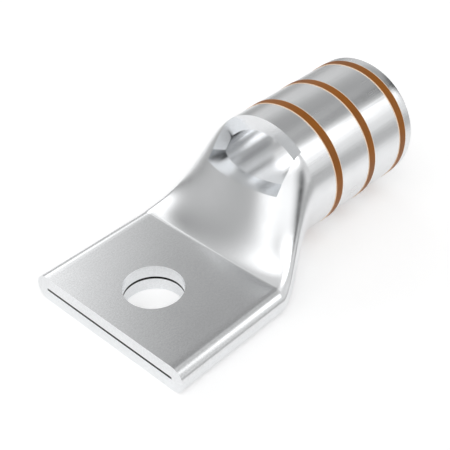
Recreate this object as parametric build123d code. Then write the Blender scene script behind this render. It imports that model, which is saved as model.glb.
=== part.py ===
"""Copper cable lug: one tinned tube, round for the cable and pressed flat for the stud.

The origin is the middle of the stud hole on the tongue's contact face. +X runs
along the tongue to the barrel's mouth, +Z points away from the contact face.
"""
from build123d import *
from math import cos, pi, radians, sin
import os

# The tube
BARREL_DIAMETER = 30.5
WALL = 3.25
SEAM_GAP = 0.15
BARREL_LIFT = 1.1

# Lengths along the lug: tongue's end to hole to bend, pressed transition, straight barrel
TONGUE_END_TO_HOLE = 13.5
HOLE_TO_BEND = 17.0
TRANSITION_LENGTH = 18.0
BARREL_LENGTH = 35.8
CAVITY_EXTRA_LENGTH = 0.2

# The tongue and its stud hole
TONGUE_WIDTH = 44.0
STUD_HOLE_DIAMETER = 13.4

# How fast the pressed tube opens: rates at which a stretch starts or ends, powers of u, and the
# crown, which is higher when a narrower strip goes with the top
OUTSIDE_TOP_RATE = 0.65
OUTSIDE_SIDE_POWER = 1.6
OUTSIDE_UNDER_POWER = 3.5
OUTSIDE_CROWN = 1.0
CAVITY_TOP_END_RATE = 0.7
CAVITY_SIDE_RATE = 1.15
CAVITY_UNDER_POWER = 1.35
CAVITY_CROWN = 9.0
SECTIONS = 11

# The inspection window, a notch milled across the shoulder
WINDOW_WIDTH = 20.0
WINDOW_DEPTH = 11.3

# The barrel's mouth
MOUTH_CHAMFER = 0.8
MOUTH_EDGE_RADIUS = 0.4

# The printed crimp bands
BAND_COUNT = 3
SHOULDER_TO_FIRST_BAND = 7.85
LAST_BAND_TO_MOUTH = 3.75
BAND_WIDTH = 2.2
BAND_INK = 0.1

# Worked out from the driving dimensions
BARREL_RADIUS = BARREL_DIAMETER / 2
BORE_RADIUS = BARREL_RADIUS - WALL
TONGUE_THICKNESS = 2 * WALL + SEAM_GAP
SEAM_Z = TONGUE_THICKNESS / 2
AXIS_Z = BARREL_LIFT + BARREL_RADIUS
FLAT_HALF_WIDTH = (TONGUE_WIDTH - TONGUE_THICKNESS) / 2
EDGE_LENGTH = pi * TONGUE_THICKNESS / 4
FLAT_ANGLE = 90.0 * FLAT_HALF_WIDTH / (FLAT_HALF_WIDTH + EDGE_LENGTH)
TONGUE_END_X = -TONGUE_END_TO_HOLE
BEND_X = HOLE_TO_BEND
SHOULDER_X = BEND_X + TRANSITION_LENGTH
CAVITY_SHOULDER_X = SHOULDER_X + CAVITY_EXTRA_LENGTH
MOUTH_X = SHOULDER_X + BARREL_LENGTH
WINDOW_FLOOR_Z = AXIS_Z + BARREL_RADIUS - WINDOW_DEPTH
BAND_PITCH = (BARREL_LENGTH - SHOULDER_TO_FIRST_BAND - LAST_BAND_TO_MOUTH) / (BAND_COUNT - 1)
CUT_CLEAR = 1.0


def tongue_point(angle, half_thickness):
    """Point of the flattened outline that came from this angle of the round tube, and its rate."""
    side = 1 if angle <= 180 else -1
    turn = angle if angle <= 180 else 360 - angle
    if turn <= FLAT_ANGLE:
        rate = FLAT_HALF_WIDTH / radians(FLAT_ANGLE)
        return side * rate * radians(turn), SEAM_Z + half_thickness, rate, 0.0
    if turn >= 180 - FLAT_ANGLE:
        rate = FLAT_HALF_WIDTH / radians(FLAT_ANGLE)
        return side * rate * radians(180 - turn), SEAM_Z - half_thickness, -rate, 0.0
    share = (turn - FLAT_ANGLE) / (180 - 2 * FLAT_ANGLE)
    rate = half_thickness * pi / radians(180 - 2 * FLAT_ANGLE)
    y = side * (FLAT_HALF_WIDTH + half_thickness * sin(pi * share))
    z = SEAM_Z + half_thickness * cos(pi * share)
    return y, z, rate * cos(pi * share), -side * rate * sin(pi * share)


def cubic_share(u, start_rate, end_rate):
    """Cubic from 0 to 1 that sets off at start_rate and arrives at end_rate."""
    return start_rate * (u - 2 * u**2 + u**3) + 3 * u**2 - 2 * u**3 + end_rate * (u**3 - u**2)


def level_share(u, power):
    """Curve from 0 to 1 that sets off as a power of u and arrives level."""
    return u**power * (1 + power * (1 - u))


def outside_shares(u):
    """How far the outside's top, sides and underside have opened, and its crown."""
    top_share = cubic_share(u, OUTSIDE_TOP_RATE, 0)
    side_share = level_share(u, OUTSIDE_SIDE_POWER)
    under_share = level_share(u, OUTSIDE_UNDER_POWER)
    return top_share, side_share, under_share, OUTSIDE_CROWN


def cavity_shares(u):
    """How far the cavity's top, sides and underside have opened, and its crown."""
    top_share = cubic_share(u, 0, CAVITY_TOP_END_RATE)
    side_share = cubic_share(u, CAVITY_SIDE_RATE, 0)
    under_share = u**CAVITY_UNDER_POWER
    return top_share, side_share, under_share, CAVITY_CROWN


def section_point(angle, u, half_thickness, radius, shares):
    """Point and direction of one cross-section, between the flat outline and the round one."""
    top_share, across, under_share, crown = shares(u)
    flat_y, flat_z, flat_dy, flat_dz = tongue_point(angle, half_thickness)
    turn = radians(angle)
    top = ((1 + cos(turn)) / 2) ** crown
    top_turn = -crown * sin(turn) / 2 * ((1 + cos(turn)) / 2) ** (crown - 1)
    rise = top * top_share + (1 - top) * under_share
    rise_rate = top_turn * (top_share - under_share)
    round_y, round_z = radius * sin(turn), AXIS_Z + radius * cos(turn)
    y = flat_y + across * (round_y - flat_y)
    z = flat_z + rise * (round_z - flat_z)
    dy = flat_dy + across * (radius * cos(turn) - flat_dy)
    dz = flat_dz + rise * (-radius * sin(turn) - flat_dz) + rise_rate * (round_z - flat_z)
    return (y, z), (dy, dz)


def section_face(x, u, half_thickness, radius, shares):
    """Cross-section at x in four stretches: top, side, underside, side."""
    corners = [-FLAT_ANGLE, FLAT_ANGLE, 180 - FLAT_ANGLE, 180 + FLAT_ANGLE, 360 - FLAT_ANGLE]
    point_counts = [9, 5, 9, 5]
    edges = []
    for start, end, count in zip(corners, corners[1:], point_counts):
        steps = [step / (count - 1) for step in range(count)]
        points = []
        rates = []
        for share in steps:
            angle = (start + (end - start) * share) % 360
            (y, z), (dy, dz) = section_point(angle, u, half_thickness, radius, shares)
            points.append(Vector(x, y, z))
            rates.append(Vector(0, dy, dz) * radians(end - start))
        if u == 1 or (u == 0 and count == min(point_counts)):
            edges.append(Edge.make_three_point_arc(points[0], points[count // 2], points[-1]))
        elif u == 0:
            edges.append(Edge.make_line(points[0], points[-1]))
        else:
            ends = [rates[0], rates[-1]]
            edges.append(Edge.make_spline(points, tangents=ends, parameters=steps, scale=False))
    return Face(Wire(edges))


def pressed_tube(end_x, half_thickness, radius, shares):
    """Loft from the flat outline at the bend to the round one at end_x."""
    faces = []
    for step in range(SECTIONS):
        u = step / (SECTIONS - 1)
        faces.append(section_face(BEND_X + u * (end_x - BEND_X), u, half_thickness, radius, shares))
    return loft(faces)


def flat_bar(start_x, end_x, half_thickness):
    """Straight length of the flattened outline."""
    outline = section_face(start_x, 0, half_thickness, BARREL_RADIUS, outside_shares)
    return extrude(outline, end_x - start_x, dir=(1, 0, 0))


def rod(start_x, end_x, radius):
    """Round rod on the barrel's axis."""
    return Plane.YZ.offset(start_x) * Pos(0, AXIS_Z, 0) * extrude(Circle(radius), end_x - start_x)


def lug_outside():
    """Tongue, pressed transition and barrel as one solid form."""
    tongue = flat_bar(TONGUE_END_X, BEND_X, TONGUE_THICKNESS / 2)
    transition = pressed_tube(SHOULDER_X, TONGUE_THICKNESS / 2, BARREL_RADIUS, outside_shares)
    barrel = rod(SHOULDER_X, MOUTH_X, BARREL_RADIUS)
    body = tongue + transition + barrel
    rim = body.edges().filter_by(GeomType.CIRCLE).sort_by(Axis.X)[-1]
    return fillet(rim, MOUTH_EDGE_RADIUS)


def lug_inside():
    """Closed seam, narrowing cavity and bore as one form to take away."""
    seam = flat_bar(TONGUE_END_X - CUT_CLEAR, BEND_X, SEAM_GAP / 2)
    cavity = pressed_tube(CAVITY_SHOULDER_X, SEAM_GAP / 2, BORE_RADIUS, cavity_shares)
    bore = rod(CAVITY_SHOULDER_X, MOUTH_X + CUT_CLEAR, BORE_RADIUS)
    entry = Plane.YZ.offset(MOUTH_X - MOUTH_CHAMFER) * Pos(0, AXIS_Z, 0) * Cone(
        BORE_RADIUS,
        BORE_RADIUS + MOUTH_CHAMFER,
        MOUTH_CHAMFER,
        align=(Align.CENTER, Align.CENTER, Align.MIN),
    )
    return seam + cavity + bore + entry


def inspection_window():
    """Notch over the shoulder: flat floor, upright sides and an upright rear face."""
    height = WINDOW_DEPTH + CUT_CLEAR
    return Pos(BEND_X, 0, WINDOW_FLOOR_Z) * Box(
        SHOULDER_X - BEND_X,
        WINDOW_WIDTH,
        height,
        align=(Align.MIN, Align.CENTER, Align.MIN),
    )


def lug_body():
    """The whole tube with its window and stud hole."""
    drill = extrude(Circle(STUD_HOLE_DIAMETER / 2), TONGUE_THICKNESS)
    return lug_outside() - lug_inside() - inspection_window() - drill


def crimp_band(index):
    """Ring of ink on the barrel that shows where to press."""
    middle = SHOULDER_X + SHOULDER_TO_FIRST_BAND + index * BAND_PITCH
    ink = rod(middle - BAND_WIDTH / 2, middle + BAND_WIDTH / 2, BARREL_RADIUS + BAND_INK)
    core = rod(middle - BAND_WIDTH, middle + BAND_WIDTH, BARREL_RADIUS)
    return ink - core


def write(name, solid, colour):
    """One file for each named piece."""
    solid.label = name
    solid.color = colour
    export_step(solid, f"parts/{name}.step")


os.makedirs("parts", exist_ok=True)
write("lug_body", lug_body(), Color(0.80, 0.81, 0.82))
for number in range(BAND_COUNT):
    write(f"crimp_band_{number + 1}", crimp_band(number), Color(0.62, 0.32, 0.10))
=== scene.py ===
import bpy
import bmesh
import numpy as np
from mathutils import Matrix, Vector


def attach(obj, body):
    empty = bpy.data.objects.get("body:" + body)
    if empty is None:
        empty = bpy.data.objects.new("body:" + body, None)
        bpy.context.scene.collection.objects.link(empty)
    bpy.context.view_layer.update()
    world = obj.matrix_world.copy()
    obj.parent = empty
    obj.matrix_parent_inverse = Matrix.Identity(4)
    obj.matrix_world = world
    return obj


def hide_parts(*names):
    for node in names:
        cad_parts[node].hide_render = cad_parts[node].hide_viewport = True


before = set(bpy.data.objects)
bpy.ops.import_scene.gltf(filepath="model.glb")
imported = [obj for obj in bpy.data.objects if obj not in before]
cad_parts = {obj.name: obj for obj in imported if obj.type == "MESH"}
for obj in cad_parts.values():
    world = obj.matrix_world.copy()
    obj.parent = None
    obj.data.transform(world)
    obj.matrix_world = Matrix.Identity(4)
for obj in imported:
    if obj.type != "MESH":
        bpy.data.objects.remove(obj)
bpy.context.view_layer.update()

# The lug's dimensions in millimetres
MM = 0.001
BARREL_RADIUS = 15.25
BORE_RADIUS = 12.0
AXIS_HEIGHT = 16.35
TONGUE_THICKNESS = 6.65
TONGUE_WIDTH = 44.0
SEAM_HEIGHT = TONGUE_THICKNESS / 2
SEAM_HALF_GAP = 0.075
TONGUE_END = -13.5
BEND = 17.0
SHOULDER = 35.0
CAVITY_SHOULDER = 35.2
MOUTH = 70.8
HOLE_RADIUS = 6.7
WINDOW_HALF_WIDTH = 10.0
WINDOW_FLOOR = 20.3
BEND_SOFTNESS = 0.35
FIRST_BAND = 42.85
BAND_PITCH = 12.1
MOUTH_CHAMFER = 0.8
MOUTH_EDGE_RADIUS = 0.4
FLAT_HALF = (TONGUE_WIDTH - TONGUE_THICKNESS) / 2
FLAT_ANGLE = np.pi / 2 * FLAT_HALF / (FLAT_HALF + np.pi * TONGUE_THICKNESS / 4)

# How fast the pressed tube opens: rates at a stretch's start or end, powers of u, and the crown
OUTSIDE_TOP_RATE = 0.65
OUTSIDE_SIDE_POWER = 1.6
OUTSIDE_UNDER_POWER = 3.5
OUTSIDE_CROWN = 1.0
CAVITY_TOP_END_RATE = 0.7
CAVITY_SIDE_RATE = 1.15
CAVITY_UNDER_POWER = 1.35
CAVITY_CROWN = 9.0

# Material slots of the lug
OUTER, SEAM, CUT, INSIDE = 0, 1, 2, 3

# Cells round the tube: window strip, flank beside it, rounded side; the underside repeats them
STRIP, FLANK, ROUND = 72, 18, 24
FIRST_STRIP, LAST_STRIP = FLANK, FLANK + STRIP
# Cells along the tube, from the hole out to the tongue's edge, and round the mouth's outer edge
BEND_ROWS, RISE_ROWS, CUT_ROWS, REAR_ROWS, ROOF_ROWS = 8, 48, 20, 8, 3
SIDE_ROWS, HOLE_ROWS, BARREL_ROWS, CORNER_ROWS = 24, 22, 30, 8
# Cells through the wall at the window, at the tongue's cuts and at the mouth
WINDOW_WALL_ROWS, TONGUE_WALL_ROWS, MOUTH_WALL_ROWS = 4, 3, 2
# Rows lie closer together near the hole: a power of the share of the way out
HOLE_CROWDING = 1.5

# Angles, in radians, and the least share between which the window's edges are looked for
EDGE_LEAST, EDGE_MOST, FLOOR_LEAST = 0.2, 1.3, 0.02

# How near, in millimetres, a face's centre lies to a place that it counts as being at
NEAR = 0.01
# How far the closed seam's faces run on past the bend
SEAM_PAST_BEND = 0.3
# Least part along an axis of the normal of a level or upright cut face
SQUARE = 0.9999
# In metres, how near points of neighbouring grids are one, and how short an edge is none
JOIN_DISTANCE, NO_LENGTH = 1e-6, 1e-7
# Degrees between two faces from which the edge between them is sharp
SHARP_ANGLE = 24

# Borders of the finishes in millimetres: where a mask is 0, then where it is 1
DRAWN_BORDER = 18.0, 34.0
PRESSED_BORDER = 17.5, 16.5
SEAM_LINE_BORDER = 0.34, 0.26
SEAM_SIDE_BORDER = 19.0, 18.5
SEAM_BEND_BORDER = 16.5, 16.0
# Painted highlight along the two borders of each band, on the ink
INK_EDGE_HIGHLIGHT_BORDER = 0.98, 1.10
# Painted highlight on the tin just past each band
BAND_HIGHLIGHT_BORDER = 1.45, 1.25
BAND_HIGHLIGHT_RADIUS_BORDER = 14.7, 14.9
BAND_HIGHLIGHT_START_BORDER = 39.2, 39.6

# Marks on the tin: cells to the metre, long along the tube and thin across it
BROAD_LINE_CELLS = 9, 420, 420
FINE_LINE_CELLS = 40, 2600, 2600
MOTTLE_CELLS, GRAIN_CELLS = 130.0, 2400.0
# Part of the lines that is broad, and the ends of a noise's middle stretch
BROAD_PART = 0.65
NOISE_LOW, NOISE_HIGH = 0.35, 0.65
# Their share of the height, the tint and the dullness, and the depth of a full mark in millimetres
LINE_HEIGHT, LINE_HEIGHT_DRAWN, GRAIN_HEIGHT = 0.1, 0.3, 0.03
STREAK_TINT, GRAIN_TINT = 0.5, 0.42
STREAK_DULLNESS, CLOUD_DULLNESS = 0.07, 0.03
MARK_STRENGTH, MARK_DEPTH = 0.5, 0.12
# How much of the metal's shine gives way to the pale painted highlight beside each band
BAND_HIGHLIGHT_COVER = 0.7
OUTER_ROUGHNESS, CUT_ROUGHNESS, BORE_ROUGHNESS = 0.18, 0.13, 0.11
INK_ROUGHNESS, INK_ROUGHNESS_IN_LINES = 0.36, 0.2

# Colours
TIN_CLEAR = (0.943, 0.954, 0.967, 1)
TIN_CLOUDED = (0.918, 0.929, 0.941, 1)
TIN_STREAKED = (0.898, 0.909, 0.921, 1)
TIN_PRESSED = (0.80, 0.81, 0.82, 1)
SEAM_SHADOW = (0.015, 0.014, 0.013, 1)
# Painted shade inside the closed seam, darkest to palest
SEAM_SHADE_DARKEST = (0.010, 0.009, 0.008, 1)
SEAM_SHADE_PALEST = (0.03, 0.028, 0.026, 1)
INK_BROWN = (0.31, 0.098, 0.0045, 1)
INK_DARKER = (0.25, 0.078, 0.0035, 1)
# Painted highlight along the bands' borders, on the ink
INK_EDGE_HIGHLIGHT = (0.78, 0.56, 0.38, 1)
# Painted highlight: a pale, less metallic colour on the tin just past each band
PAINTED_BAND_HIGHLIGHT = (0.97, 0.89, 0.80, 1)
FLOOR_IN_POOL = (0.85, 0.85, 0.85, 1)
FLOOR_BEYOND = (0.36, 0.36, 0.36, 1)

# The floor in metres, and the pool of light on it in millimetres
FLOOR_HALF_SIZE = 3
POOL_X, POOL_Y = 27.0, 25.0
POOL_BORDER = 60.0, 200.0
FLOOR_GLOW, GLOW_MORE_WHEN_SEEN = 0.14, 0.15

# The photograph's camera: its lens and its direction in degrees, then the point that it looks at
# and its distance from there in millimetres
CAMERA_LENS = 76.47
CAMERA_AZIMUTH, CAMERA_ELEVATION, CAMERA_ROLL = -137.542, 38.441, 0.321
CAMERA_TARGET = 27.107, 4.553, 5.0
CAMERA_DISTANCE = 219.63

# The room. Azimuth 0 is off the barrel's mouth and 180 off the tongue's end; the camera is at -138.
# Each panel or screen has its azimuth, elevation, half width, half height and softness in degrees,
# then the brightness that it adds. Its edge fades by the softness to either side
ROOM_BRIGHTNESS = 0.62
PANELS = [
    # The main one, high over the camera
    (-125, 60, 40, 15, 15, 2.4),
    # On the camera's side, a wide one low down and a narrower one at the floor's edge
    (-150, 10, 40, 20, 10, 0.6),
    (-120, 0, 20, 10, 10, 0.8),
    # Past the tongue's end and beyond the lug, on the left
    (160, 45, 15, 20, 15, 1.2),
    (85, 35, 30, 15, 10, 1.0),
    # On the right, a small bright one and a wide faint one
    (-40, 35, 10, 10, 10, 1.3),
    (-50, 15, 30, 15, 15, 0.25),
]
SCREENS = [
    # Low on the camera's side, to its right and to its left
    (-105, 20, 20, 15, 15, -0.6),
    (-160, 0, 35, 10, 10, -0.8),
    # Past the tongue's end, on the left
    (150, 30, 20, 15, 20, -0.6),
    # Beyond the lug, high and at the floor's edge
    (40, 60, 40, 25, 10, -0.3),
    (80, -10, 40, 10, 20, -0.8),
    # Past the barrel's mouth
    (-20, 35, 15, 15, 15, -0.4),
    (-10, 20, 15, 15, 10, -0.6),
    # On the right, low and at the floor's edge
    (-60, 20, 10, 10, 15, -0.3),
    (-65, -5, 25, 10, 10, -0.5),
]


def tongue_outline(angle, half_thickness):
    """Flattened tube: each angle of the round tube at the same length round the flat outline."""
    turn = np.abs(angle)
    share = np.clip((turn - FLAT_ANGLE) / (np.pi - 2 * FLAT_ANGLE), 0, 1)
    top = np.minimum(turn, FLAT_ANGLE)
    under = np.maximum(turn - (np.pi - FLAT_ANGLE), 0)
    y = FLAT_HALF * (top - under) / FLAT_ANGLE + half_thickness * np.sin(np.pi * share)
    return np.sign(angle) * y, SEAM_HEIGHT + half_thickness * np.cos(np.pi * share)


def cubic(u, start_rate, end_rate):
    """Cubic from 0 to 1 that sets off at start_rate and arrives at end_rate."""
    return start_rate * (u - 2 * u**2 + u**3) + 3 * u**2 - 2 * u**3 + end_rate * (u**3 - u**2)


def level(u, power):
    """Curve from 0 to 1 that sets off as a power of u and arrives level: u^n (1 + n (1 - u))."""
    return u**power * (1 + power * (1 - u))


def pressed(u, angle, end, half_thickness, radius, top_share, across, under_share, crown,
            top_rate, side_rate):
    """Flat outline at u = 0 blended to the round one at u = 1.

    The width goes by across, the height by top_share in the strip ((1 + cos angle) / 2)^crown
    and by under_share below it. Near the bend the sharp start, whose rates are given, is
    rounded by a parabola that reaches BEND_SOFTNESS to either side.
    """
    length = end - BEND
    flat_y, flat_z = tongue_outline(angle, half_thickness)
    round_y, round_z = radius * np.sin(angle), AXIS_HEIGHT + radius * np.cos(angle)
    top = ((1 + np.cos(angle)) / 2)**crown
    rise = top * top_share + (1 - top) * under_share
    ahead = u * length
    soft = np.where(np.abs(ahead) < BEND_SOFTNESS, (ahead + BEND_SOFTNESS)**2 / (4 * BEND_SOFTNESS),
                    np.maximum(ahead, 0))
    spare = (soft - np.maximum(ahead, 0)) / length
    y = flat_y + (across + spare * side_rate) * (round_y - flat_y)
    z = flat_z + (rise + spare * top * top_rate) * (round_z - flat_z)
    return np.stack(np.broadcast_arrays(BEND + ahead, y, z), -1)


def outside(u, angle):
    """Outer skin between the bend and the shoulder."""
    v = np.clip(u, 0, 1)
    return pressed(u, angle, SHOULDER, TONGUE_THICKNESS / 2, BARREL_RADIUS,
                   cubic(v, OUTSIDE_TOP_RATE, 0), level(v, OUTSIDE_SIDE_POWER),
                   level(v, OUTSIDE_UNDER_POWER), OUTSIDE_CROWN, OUTSIDE_TOP_RATE, 0.0)


def cavity(u, angle):
    """Inner skin between the bend and the bore."""
    v = np.clip(u, 0, 1)
    return pressed(u, angle, CAVITY_SHOULDER, SEAM_HALF_GAP, BORE_RADIUS,
                   cubic(v, 0, CAVITY_TOP_END_RATE), cubic(v, CAVITY_SIDE_RATE, 0),
                   v**CAVITY_UNDER_POWER, CAVITY_CROWN, 0.0, CAVITY_SIDE_RATE)


def solve(function, low, high, rounds=50):
    """Where an increasing function is zero, by halving the range, for whole arrays at once."""
    for _ in range(rounds):
        middle = (low + high) / 2
        past = function(middle) > 0
        high = np.where(past, middle, high)
        low = np.where(past, low, middle)
    return (low + high) / 2


def strip_edge(skin, u):
    """Angle at which a skin passes the window's side, y = WINDOW_HALF_WIDTH."""
    u = np.asarray(u, float)
    low, high = np.full_like(u, EDGE_LEAST), np.full_like(u, EDGE_MOST)
    return solve(lambda angle: skin(u, angle)[..., 1] - WINDOW_HALF_WIDTH, low, high)


def around(skin, u):
    """Angles round the tube, a row for each u.

    They run flank, window strip, flank over the top, then a side, the same three underneath,
    the other side, and the first angle again.
    """
    edge = strip_edge(skin, u)[:, None]
    flank = np.linspace(0, 1, FLANK + 1)[None] * (FLAT_ANGLE - edge)
    top = np.concatenate([(flank - FLAT_ANGLE)[:, :-1], np.linspace(-1, 1, STRIP + 1)[None] * edge,
                          (edge + flank)[:, 1:]], 1)
    side = FLAT_ANGLE + np.linspace(0, 1, ROUND + 1)[1:-1] * (np.pi - 2 * FLAT_ANGLE)
    side = np.repeat(side[None], len(edge), 0)
    angle = np.concatenate([top, side, np.pi - top[:, ::-1], 2 * np.pi - side[:, ::-1],
                            top[:, :1] + 2 * np.pi], 1)
    return (angle + np.pi) % (2 * np.pi) - np.pi


def strip_grid(skin, u):
    """Points of the window strip: u holds a row for each step and a column for each line."""
    return skin(u, np.linspace(-1, 1, STRIP + 1)[None] * strip_edge(skin, u))


def floor_reach(skin):
    """The u at which each line of the window strip comes up to the window's floor."""
    line = np.linspace(-1, 1, STRIP + 1)
    low, high = np.full_like(line, FLOOR_LEAST), np.ones_like(line)
    return solve(lambda u: skin(u, line * strip_edge(skin, u))[..., 2] - WINDOW_FLOOR, low, high)


def ruled(first, last, steps=1):
    """Straight lines from each point of one curve to the same point of another."""
    share = np.linspace(0, 1, steps + 1)[:, None, None]
    return first[None] + share * (last - first)[None]


def turned(profile, angle):
    """Profile of (x, radius) points turned about the barrel's axis to each angle."""
    x, radius = np.array(profile).T[:, :, None]
    y, z = radius * np.sin(angle), AXIS_HEIGHT + radius * np.cos(angle)
    return np.stack(np.broadcast_arrays(x, y, z), -1)


def flat_with_hole(across, height):
    """Flat of the tongue: rays from the hole's rim out to the rectangle's edge, closed in a loop."""
    along = np.linspace(TONGUE_END, BEND - BEND_SOFTNESS, SIDE_ROWS + 1)
    start, end = np.full_like(across, along[0]), np.full_like(across, along[-1])
    low, high = np.full_like(along, across[0]), np.full_like(along, across[-1])
    x = np.concatenate([end, along[::-1][1:], start[1:], along[1:]])
    y = np.concatenate([across, high[1:], across[::-1][1:], low[1:]])
    out = np.hypot(x, y)
    share = np.linspace(0, 1, HOLE_ROWS + 1)[:, None]**HOLE_CROWDING
    scale = HOLE_RADIUS / out + share * (1 - HOLE_RADIUS / out)
    return np.stack(np.broadcast_arrays(x * scale, y * scale, height), -1)


def shoulder_grids():
    """Both skins from the bend to the shoulder, then the window's faces; also gives each skin's rings."""
    outer_length, inner_length = SHOULDER - BEND, CAVITY_SHOULDER - BEND
    outer_reach, inner_reach = floor_reach(outside), floor_reach(cavity)
    front_x = BEND + outer_reach[0] * outer_length
    back_x = BEND + inner_reach[0] * inner_length
    floor_x = np.linspace(front_x, back_x, CUT_ROWS + 1)
    rear_x = np.linspace(back_x, SHOULDER, REAR_ROWS + 1)
    roof_x = np.linspace(SHOULDER, CAVITY_SHOULDER, ROOF_ROWS + 1)
    grids = []
    edges = {}
    for name, skin, length, reach, cut_x in (
            ("outer", outside, outer_length, outer_reach, np.concatenate([floor_x, rear_x[1:]])),
            ("inner", cavity, inner_length, inner_reach, np.concatenate([rear_x, roof_x[1:]]))):
        soft = BEND_SOFTNESS / length
        bend = np.linspace(-soft, soft, BEND_ROWS + 1)
        rise = np.linspace(0, 1, RISE_ROWS + 1)[1:]
        u = np.concatenate([bend, soft + rise * (reach[0] - soft), (cut_x - BEND)[1:] / length])
        ring = skin(u[:, None], around(skin, u))
        grids.append(np.concatenate([ring[:, LAST_STRIP:], ring[:, 1:FIRST_STRIP + 1]], 1))
        lines = np.concatenate([np.repeat(bend[:, None], STRIP + 1, 1),
                                soft + rise[:, None] * (reach - soft)[None]])
        strip = strip_grid(skin, lines)
        grids.append(strip)
        edges[name] = ring, strip[-1], ring[-len(cut_x):, FIRST_STRIP], ring[-len(cut_x):, LAST_STRIP]
    outer_ring, outer_lip, outer_left, outer_right = edges["outer"]
    inner_ring, inner_lip, inner_left, inner_right = edges["inner"]
    roof = inner_ring[-ROOF_ROWS - 1:, FIRST_STRIP:LAST_STRIP + 1]
    grids.append(roof)
    # The window: floor, two sides, rear face
    grids.append(ruled(outer_lip, inner_lip, CUT_ROWS))
    for outer_side, inner_side in ((outer_left, inner_left), (outer_right, inner_right)):
        foot = outer_side[:CUT_ROWS + 1].copy()
        foot[:, 2] = WINDOW_FLOOR
        foot = np.concatenate([foot[:-1], inner_side[:REAR_ROWS + 1]])
        grids.append(ruled(foot, outer_side, WINDOW_WALL_ROWS))
    grids.append(ruled(roof[0], outer_ring[-1, FIRST_STRIP:LAST_STRIP + 1], WINDOW_WALL_ROWS))
    return grids, outer_ring, inner_ring


def tongue_grids(outer_ring, inner_ring):
    """Rounded sides of the tongue and of the seam, flats with the hole, hole wall and end face."""
    top_end = STRIP + 2 * FLANK
    grids = []
    outlines = []
    along = np.linspace(TONGUE_END, BEND - BEND_SOFTNESS, SIDE_ROWS + 1)
    for ring in (outer_ring, inner_ring):
        outline = ring[0]
        outlines.append(outline)
        tube = np.repeat(outline[None], len(along), 0)
        tube[:, :, 0] = along[:, None]
        grids.append(tube[:, top_end:top_end + ROUND + 1])
        grids.append(tube[:, 2 * top_end + ROUND:])
    across = outlines[0][:top_end + 1, 1]
    seam_low, seam_high = SEAM_HEIGHT - SEAM_HALF_GAP, SEAM_HEIGHT + SEAM_HALF_GAP
    flats = [flat_with_hole(across, height) for height in (0.0, seam_low, seam_high, TONGUE_THICKNESS)]
    grids += flats
    grids.append(ruled(flats[0][0], flats[1][0], TONGUE_WALL_ROWS))
    grids.append(ruled(flats[2][0], flats[3][0], TONGUE_WALL_ROWS))
    ends = [outline * [0, 1, 1] + [TONGUE_END, 0, 0] for outline in outlines]
    grids.append(ruled(ends[0], ends[1], TONGUE_WALL_ROWS))
    return grids


def barrel_grids():
    """Barrel's outside to its rounded lip, bore with its entry cone, and the mouth's ring."""
    outer_angle, inner_angle = around(outside, np.array([1.0])), around(cavity, np.array([1.0]))
    lip_x, lip_radius = MOUTH - MOUTH_EDGE_RADIUS, BARREL_RADIUS - MOUTH_EDGE_RADIUS
    outer_profile = [(x, BARREL_RADIUS) for x in np.linspace(SHOULDER, lip_x, BARREL_ROWS + 1)]
    for turn in np.radians(np.linspace(0, 90, CORNER_ROWS + 1))[1:]:
        outer_profile.append((lip_x + MOUTH_EDGE_RADIUS * np.sin(turn),
                              lip_radius + MOUTH_EDGE_RADIUS * np.cos(turn)))
    cone_x = MOUTH - MOUTH_CHAMFER
    inner_profile = [(x, BORE_RADIUS) for x in np.linspace(CAVITY_SHOULDER, cone_x, BARREL_ROWS + 1)]
    inner_profile.append((MOUTH, BORE_RADIUS + MOUTH_CHAMFER))
    barrel, bore = turned(outer_profile, outer_angle), turned(inner_profile, inner_angle)
    return [barrel, bore, ruled(barrel[-1], bore[-1], MOUTH_WALL_ROWS)]


def lug_grids():
    """Every skin and cut face of the lug as a grid of points, and the places of those inside it."""
    shoulder, outer_ring, inner_ring = shoulder_grids()
    grids = shoulder + tongue_grids(outer_ring, inner_ring) + barrel_grids()
    # The cavity's rings, window strip and roof come third to fifth, the bore next to last
    return grids, (2, 3, 4, len(grids) - 2)


def face_values(mesh, name):
    """Centre or normal of every face, in rows of three."""
    values = np.empty(len(mesh.polygons) * 3)
    mesh.polygons.foreach_get(name, values)
    return values.reshape(-1, 3)


def inside_seam(mesh):
    """Faces of the closed seam: at its height, up to the bend, off the end face and hole wall."""
    x, y, z = face_values(mesh, "center").T / MM
    in_gap = np.abs(z - SEAM_HEIGHT) < SEAM_HALF_GAP + NEAR
    in_tongue = (x > TONGUE_END + NEAR) & (x < BEND + SEAM_PAST_BEND)
    return in_gap & in_tongue & (np.hypot(x, y) > HOLE_RADIUS + NEAR)


def window_cuts(mesh):
    """Window's cut faces: level at its floor, upright at its sides, across the tube at its rear."""
    x, y, z = face_values(mesh, "center").T / MM
    square = np.abs(face_values(mesh, "normal")) > SQUARE
    at_floor = square[:, 2] & (np.abs(z - WINDOW_FLOOR) < NEAR)
    at_side = square[:, 1] & (np.abs(np.abs(y) - WINDOW_HALF_WIDTH) < NEAR)
    at_rear = square[:, 0] & (np.abs(x - SHOULDER) < NEAR)
    return at_floor | at_side | at_rear


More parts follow.
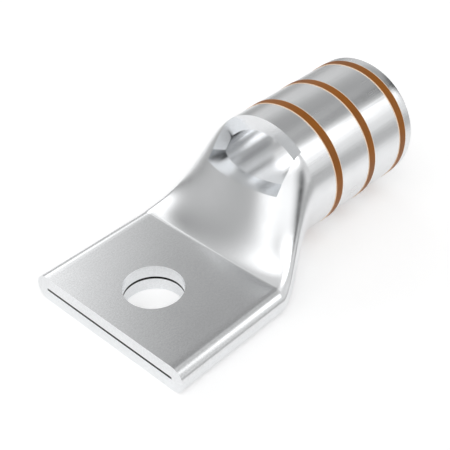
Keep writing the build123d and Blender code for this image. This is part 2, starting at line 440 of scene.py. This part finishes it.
def mesh_from_grids(name, grids, inner):
    """One closed mesh: each grid's cells become faces, shared borders are joined, faces point out.

    Faces of the inner grids take the slot INSIDE, the others OUTER.
    """
    points, faces, slots, start = [], [], [], 0
    for index, grid in enumerate(grids):
        rows, columns = grid.shape[:2]
        number = start + np.arange(rows * columns).reshape(rows, columns)
        cells = np.stack([number[:-1, :-1], number[1:, :-1], number[1:, 1:], number[:-1, 1:]], -1)
        points.append(grid.reshape(-1, 3))
        faces.append(cells.reshape(-1, 4))
        slots.append(np.full(len(faces[-1]), INSIDE if index in inner else OUTER))
        start += rows * columns
    mesh = bpy.data.meshes.new(name)
    mesh.from_pydata(np.concatenate(points) * MM, [], np.concatenate(faces).tolist())
    mesh.polygons.foreach_set("material_index", np.concatenate(slots).astype(np.int32))
    work = bmesh.new()
    work.from_mesh(mesh)
    bmesh.ops.remove_doubles(work, verts=work.verts, dist=JOIN_DISTANCE)
    bmesh.ops.dissolve_degenerate(work, edges=work.edges, dist=NO_LENGTH)
    bmesh.ops.recalc_face_normals(work, faces=work.faces)
    open_edges = sum(1 for edge in work.edges if not edge.is_manifold)
    volume = work.calc_volume() / MM**3
    print(name, "faces", len(work.faces), "open edges", open_edges, "volume mm3", volume)
    work.to_mesh(mesh)
    work.free()
    mesh.polygons.foreach_set("use_smooth", np.ones(len(mesh.polygons), bool))
    mesh.set_sharp_from_angle(angle=np.radians(SHARP_ANGLE))
    mesh.validate()
    piece = bpy.data.objects.new(name, mesh)
    bpy.context.collection.objects.link(piece)
    return piece


def node_group(name, inputs, outputs):
    """Empty group with named number sockets; gives the tree and its two end nodes."""
    tree = bpy.data.node_groups.new(name, "ShaderNodeTree")
    for label in inputs:
        tree.interface.new_socket(name=label, in_out="INPUT", socket_type="NodeSocketFloat")
    for label in outputs:
        tree.interface.new_socket(name=label, in_out="OUTPUT", socket_type="NodeSocketFloat")
    return tree, tree.nodes.new("NodeGroupInput"), tree.nodes.new("NodeGroupOutput")


def feed(tree, socket, value):
    """Links a socket's source, or sets the socket to a plain value."""
    if isinstance(value, bpy.types.NodeSocket):
        tree.links.new(value, socket)
    else:
        socket.default_value = value


def maths(tree, operation, *values):
    """Math node on plain numbers or sockets."""
    node = tree.nodes.new("ShaderNodeMath")
    node.operation = operation
    for socket, value in zip(node.inputs, values):
        feed(tree, socket, value)
    return node.outputs[0]


def reach(tree, first, second):
    """Length of the line whose two square parts are given."""
    squares = maths(tree, "MULTIPLY_ADD", first, first, maths(tree, "MULTIPLY", second, second))
    return maths(tree, "SQRT", squares)


def ramp_between(tree, value, low, high):
    """0 at low to 1 at high, which may be below low, easing in and out."""
    node = tree.nodes.new("ShaderNodeMapRange")
    node.interpolation_type = "SMOOTHSTEP"
    feed(tree, node.inputs["Value"], value)
    feed(tree, node.inputs["From Min"], low)
    feed(tree, node.inputs["From Max"], high)
    return node.outputs["Result"]


def border(tree, distance, ends):
    """Mask over a distance in metres: 0 at the first end and 1 at the second, in millimetres."""
    return ramp_between(tree, distance, ends[0] * MM, ends[1] * MM)


def spread(tree, value):
    """The middle of a noise, spread to run from 0 to 1."""
    return ramp_between(tree, value, NOISE_LOW, NOISE_HIGH)


def blend(tree, share, first, second):
    """Colour between first and second."""
    node = tree.nodes.new("ShaderNodeMix")
    node.data_type = "RGBA"
    feed(tree, node.inputs[0], share)
    feed(tree, node.inputs[6], first)
    feed(tree, node.inputs[7], second)
    return node.outputs[2]


def noise(tree, place, scale, detail, rough=0.5):
    """Noise from 0 to 1, with scale cells to each unit of place."""
    node = tree.nodes.new("ShaderNodeTexNoise")
    feed(tree, node.inputs["Vector"], place)
    node.inputs["Scale"].default_value = scale
    node.inputs["Detail"].default_value = detail
    node.inputs["Roughness"].default_value = rough
    return node.outputs["Fac"]


def stretched(tree, place, scale):
    """Place scaled by its own factor along each axis."""
    node = tree.nodes.new("ShaderNodeMapping")
    feed(tree, node.inputs["Vector"], place)
    node.inputs["Scale"].default_value = scale
    return node.outputs["Vector"]


def parts(tree, coordinates):
    """X, Y and Z of Blender's coordinates of that name."""
    split = tree.nodes.new("ShaderNodeSeparateXYZ")
    tree.links.new(tree.nodes.new("ShaderNodeTexCoord").outputs[coordinates], split.inputs[0])
    return split.outputs["X"], split.outputs["Y"], split.outputs["Z"]


def placed(tree, group, **values):
    """Node for a group, with its own values; underscores stand for spaces."""
    node = tree.nodes.new("ShaderNodeGroup")
    node.node_tree = group
    for label, value in values.items():
        feed(tree, node.inputs[label.replace("_", " ")], value)
    return node.outputs


def new_material(name, **values):
    """Material with plain values on its shader's sockets; underscores stand for spaces."""
    material = bpy.data.materials.new(name)
    material.use_nodes = True
    shader = material.node_tree.nodes["Principled BSDF"]
    for label, value in values.items():
        shader.inputs[label.replace("_", " ")].default_value = value
    return material, material.node_tree, shader


def drawn_metal_group():
    """Marks of the drawn tube and their height: fine lines along X, a soft mottle, a fine grain."""
    tree, start, end = node_group("drawn_marks", ["Line Share", "Grain Share"],
                                  ["Lines", "Mottle", "Grain", "Height"])
    place = tree.nodes.new("ShaderNodeTexCoord").outputs["Object"]
    broad = noise(tree, stretched(tree, place, BROAD_LINE_CELLS), 1.0, 3.0, 0.6)
    fine = noise(tree, stretched(tree, place, FINE_LINE_CELLS), 1.0, 2.0, 0.5)
    lines = maths(tree, "MULTIPLY_ADD", broad, BROAD_PART, maths(tree, "MULTIPLY", fine, 1 - BROAD_PART))
    mottle = noise(tree, place, MOTTLE_CELLS, 4.0, 0.55)
    grain = noise(tree, place, GRAIN_CELLS, 2.0, 0.5)
    height = maths(tree, "MULTIPLY_ADD", lines, start.outputs["Line Share"],
                   maths(tree, "MULTIPLY", grain, start.outputs["Grain Share"]))
    for label, source in (("Lines", lines), ("Mottle", mottle), ("Grain", grain), ("Height", height)):
        tree.links.new(source, end.inputs[label])
    return tree


def band_distance_group():
    """Distance along X from the nearest band's middle, which goes on growing ahead of the first."""
    tree, _, end = node_group("band_distance", [], ["Distance"])
    x, _, _ = parts(tree, "Object")
    from_first = maths(tree, "SUBTRACT", x, FIRST_BAND * MM)
    half_pitch = BAND_PITCH * MM / 2
    across = maths(tree, "ABSOLUTE", maths(tree, "WRAP", from_first, half_pitch, -half_pitch))
    ahead = maths(tree, "MAXIMUM", maths(tree, "SUBTRACT", -half_pitch, from_first), 0.0)
    tree.links.new(maths(tree, "ADD", across, ahead), end.inputs["Distance"])
    return tree


def seam_shade_line(tree, x, y, z):
    """Mask of painted shade along the closed seam: a thin dark line wherever the tongue is cut through."""
    off_seam = maths(tree, "ABSOLUTE", maths(tree, "SUBTRACT", z, SEAM_HEIGHT * MM))
    line = maths(tree, "MULTIPLY", border(tree, off_seam, SEAM_LINE_BORDER),
                 border(tree, maths(tree, "ABSOLUTE", y), SEAM_SIDE_BORDER))
    return maths(tree, "MULTIPLY", line, border(tree, x, SEAM_BEND_BORDER))


def band_painted_highlight(tree, x, y, z, band_distance):
    """Mask of the painted highlight on the barrel's outside: a pale strip just past each band."""
    radius = reach(tree, y, maths(tree, "SUBTRACT", z, AXIS_HEIGHT * MM))
    painted_highlight = maths(tree, "MULTIPLY", border(tree, placed(tree, band_distance)["Distance"], BAND_HIGHLIGHT_BORDER),
                 border(tree, radius, BAND_HIGHLIGHT_RADIUS_BORDER))
    return maths(tree, "MULTIPLY", painted_highlight, border(tree, x, BAND_HIGHLIGHT_START_BORDER))


def tin_plate(name, roughness, marks, band_distance):
    """Bright tin: nearly neutral, a little duller and greyer where draw lines and mottle run."""
    material, tree, shader = new_material(name)
    x, y, z = parts(tree, "Object")
    drawn = border(tree, x, DRAWN_BORDER)
    line_share = maths(tree, "MULTIPLY_ADD", drawn, LINE_HEIGHT_DRAWN, LINE_HEIGHT)
    mark = placed(tree, marks, Line_Share=line_share, Grain_Share=GRAIN_HEIGHT)
    cloud = spread(tree, mark["Mottle"])
    streak = maths(tree, "MULTIPLY", spread(tree, mark["Lines"]), drawn)
    tint = blend(tree, cloud, TIN_CLEAR, TIN_CLOUDED)
    tint = blend(tree, maths(tree, "MULTIPLY", streak, STREAK_TINT), tint, TIN_STREAKED)
    # The press has left a fine grain on the tongue
    grain = maths(tree, "MULTIPLY", spread(tree, mark["Grain"]), border(tree, x, PRESSED_BORDER))
    tint = blend(tree, maths(tree, "MULTIPLY", grain, GRAIN_TINT), tint, TIN_PRESSED)
    # Painted shade: a thin dark line along the closed seam
    tint = blend(tree, seam_shade_line(tree, x, y, z), tint, SEAM_SHADOW)
    # Painted highlight: a pale, less metallic strip on the tin just past each band
    painted_highlight = band_painted_highlight(tree, x, y, z, band_distance)
    tree.links.new(blend(tree, painted_highlight, tint, PAINTED_BAND_HIGHLIGHT), shader.inputs["Base Color"])
    tree.links.new(maths(tree, "MULTIPLY_ADD", painted_highlight, -BAND_HIGHLIGHT_COVER, 1.0), shader.inputs["Metallic"])
    streaked = maths(tree, "MULTIPLY_ADD", streak, STREAK_DULLNESS, roughness)
    tree.links.new(maths(tree, "MULTIPLY_ADD", cloud, CLOUD_DULLNESS, streaked), shader.inputs["Roughness"])
    bump = tree.nodes.new("ShaderNodeBump")
    bump.inputs["Strength"].default_value = MARK_STRENGTH
    bump.inputs["Distance"].default_value = MARK_DEPTH * MM
    tree.links.new(mark["Height"], bump.inputs["Height"])
    tree.links.new(bump.outputs["Normal"], shader.inputs["Normal"])
    return material


def seam_painted_shade(marks):
    """Inside of the closed seam: painted shade, dull near-black metal where light hardly reaches."""
    material, tree, shader = new_material("seam_painted_shade", Metallic=0.3, Roughness=0.7)
    mark = placed(tree, marks, Line_Share=1.0, Grain_Share=0.0)
    tree.links.new(blend(tree, mark["Mottle"], SEAM_SHADE_DARKEST, SEAM_SHADE_PALEST), shader.inputs["Base Color"])
    return material


def band_ink(marks, band_distance):
    """Brown ink: faintly uneven, with a painted highlight in a paler colour along the two borders of each
    band.
    """
    material, tree, shader = new_material("band_ink", Specular_IOR_Level=0.35)
    edge_highlight = border(tree, placed(tree, band_distance)["Distance"], INK_EDGE_HIGHLIGHT_BORDER)
    mark = placed(tree, marks, Line_Share=1.0, Grain_Share=0.0)
    body = blend(tree, ramp_between(tree, mark["Mottle"], 0.3, 0.7), INK_BROWN, INK_DARKER)
    tree.links.new(blend(tree, edge_highlight, body, INK_EDGE_HIGHLIGHT), shader.inputs["Base Color"])
    dull = maths(tree, "MULTIPLY_ADD", mark["Lines"], INK_ROUGHNESS_IN_LINES, INK_ROUGHNESS)
    tree.links.new(dull, shader.inputs["Roughness"])
    return material


def dress_lug(lug, marks, band_distance):
    """Gives the lug its finishes in the order of the slots, and its seam and cut faces their slots."""
    for finish in (tin_plate("tin_plate", OUTER_ROUGHNESS, marks, band_distance),
                   seam_painted_shade(marks),
                   tin_plate("milled_tin", CUT_ROUGHNESS, marks, band_distance),
                   tin_plate("bore_tin", BORE_ROUGHNESS, marks, band_distance)):
        lug.data.materials.append(finish)
    slots = np.empty(len(lug.data.polygons), np.int32)
    lug.data.polygons.foreach_get("material_index", slots)
    slots[inside_seam(lug.data)] = SEAM
    slots[window_cuts(lug.data)] = CUT
    print("faces in each slot", np.bincount(slots))
    lug.data.polygons.foreach_set("material_index", slots)


def pale_floor():
    """Flat floor that glows a little. Reflections find it darker outside a pool round the lug."""
    mesh = bpy.data.meshes.new("floor")
    low, high = -FLOOR_HALF_SIZE, FLOOR_HALF_SIZE
    mesh.from_pydata([(low, low, 0), (high, low, 0), (high, high, 0), (low, high, 0)], [], [(0, 1, 2, 3)])
    piece = bpy.data.objects.new("floor", mesh)
    bpy.context.collection.objects.link(piece)
    material, tree, shader = new_material("pale_floor", Roughness=0.35, Emission_Color=(1, 1, 1, 1))
    seen = tree.nodes.new("ShaderNodeLightPath").outputs["Is Camera Ray"]
    x, y, _ = parts(tree, "Object")
    distance = reach(tree, maths(tree, "SUBTRACT", x, POOL_X * MM), maths(tree, "SUBTRACT", y, POOL_Y * MM))
    outside_pool = maths(tree, "MULTIPLY", border(tree, distance, POOL_BORDER),
                         maths(tree, "SUBTRACT", 1.0, seen))
    tree.links.new(blend(tree, outside_pool, FLOOR_IN_POOL, FLOOR_BEYOND), shader.inputs["Base Color"])
    glow = maths(tree, "MULTIPLY_ADD", seen, GLOW_MORE_WHEN_SEEN, FLOOR_GLOW)
    tree.links.new(maths(tree, "MULTIPLY", glow, maths(tree, "SUBTRACT", 1.0, outside_pool)),
                   shader.inputs["Emission Strength"])
    mesh.materials.append(material)
    return piece


def soft_panel_group():
    """Mask of a panel round a direction, in degrees: 1 within the inner half sizes, 0 past the outer."""
    tree, start, end = node_group("soft_panel", [
        "Azimuth", "Elevation", "Centre Azimuth", "Centre Elevation",
        "Inner Width", "Outer Width", "Inner Height", "Outer Height"], ["Mask"])
    take = start.outputs
    turn = maths(tree, "SUBTRACT", take["Azimuth"], take["Centre Azimuth"])
    aside = maths(tree, "ABSOLUTE", maths(tree, "WRAP", turn, 180.0, -180.0))
    above = maths(tree, "ABSOLUTE", maths(tree, "SUBTRACT", take["Elevation"], take["Centre Elevation"]))
    mask = maths(tree, "MULTIPLY", ramp_between(tree, aside, take["Outer Width"], take["Inner Width"]),
                 ramp_between(tree, above, take["Outer Height"], take["Inner Height"]))
    tree.links.new(mask, end.inputs["Mask"])
    return tree


def studio(base, panels):
    """Pale room of one brightness with soft panels added; the camera itself sees plain white."""
    world = bpy.data.worlds.new("studio")
    world.use_nodes = True
    tree = world.node_tree
    group = soft_panel_group()
    x, y, z = parts(tree, "Generated")
    azimuth = maths(tree, "DEGREES", maths(tree, "ARCTAN2", y, x))
    elevation = maths(tree, "DEGREES", maths(tree, "ARCSINE", z))
    brightness = base
    for centre, height, half_width, half_height, softness, strength in panels:
        mask = placed(tree, group, Azimuth=azimuth, Elevation=elevation,
                      Centre_Azimuth=centre, Centre_Elevation=height,
                      Inner_Width=half_width - softness, Outer_Width=half_width + softness,
                      Inner_Height=half_height - softness, Outer_Height=half_height + softness)["Mask"]
        brightness = maths(tree, "MULTIPLY_ADD", mask, strength, brightness)
    brightness = maths(tree, "MAXIMUM", brightness, 0.0)
    seen = tree.nodes.new("ShaderNodeLightPath").outputs["Is Camera Ray"]
    plain = tree.nodes.new("ShaderNodeMix")
    feed(tree, plain.inputs[0], seen)
    feed(tree, plain.inputs[2], brightness)
    feed(tree, plain.inputs[3], 1.0)
    tree.links.new(plain.outputs[0], tree.nodes["Background"].inputs["Strength"])
    tree.nodes["Background"].inputs["Color"].default_value = (1, 1, 1, 1)
    bpy.context.scene.world = world


def photo_camera():
    """Camera at the photograph's viewing angle, rolled a little about its own axis."""
    camera = bpy.data.objects.new("camera", bpy.data.cameras.new("camera"))
    camera.data.lens = CAMERA_LENS
    camera.data.sensor_width = 36.0
    camera.data.clip_start = 0.01
    azimuth, elevation, roll = np.radians([CAMERA_AZIMUTH, CAMERA_ELEVATION, CAMERA_ROLL])
    level_part = np.cos(elevation)
    back = Vector((level_part * np.cos(azimuth), level_part * np.sin(azimuth), np.sin(elevation)))
    right = Vector((0, 0, 1)).cross(back).normalized()
    up = back.cross(right)
    tilted_right = np.cos(roll) * right + np.sin(roll) * up
    tilted_up = -np.sin(roll) * right + np.cos(roll) * up
    facing = Matrix((tilted_right, tilted_up, back)).transposed().to_4x4()
    stand = Vector(CAMERA_TARGET) * MM + back * CAMERA_DISTANCE * MM
    camera.matrix_world = Matrix.Translation(stand) @ facing
    return camera


lug = mesh_from_grids("pressed_lug", *lug_grids())
marks = drawn_metal_group()
band_distance = band_distance_group()
dress_lug(lug, marks, band_distance)
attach(lug, "root")
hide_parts("lug_body")

ink = band_ink(marks, band_distance)
for number in (1, 2, 3):
    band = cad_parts[f"crimp_band_{number}"]
    for slot in band.material_slots:
        slot.material = ink

floor = pale_floor()

studio(ROOM_BRIGHTNESS, PANELS + SCREENS)

camera = photo_camera()
bpy.context.collection.objects.link(camera)
bpy.context.scene.camera = camera
bpy.context.scene.view_settings.view_transform = "Standard"
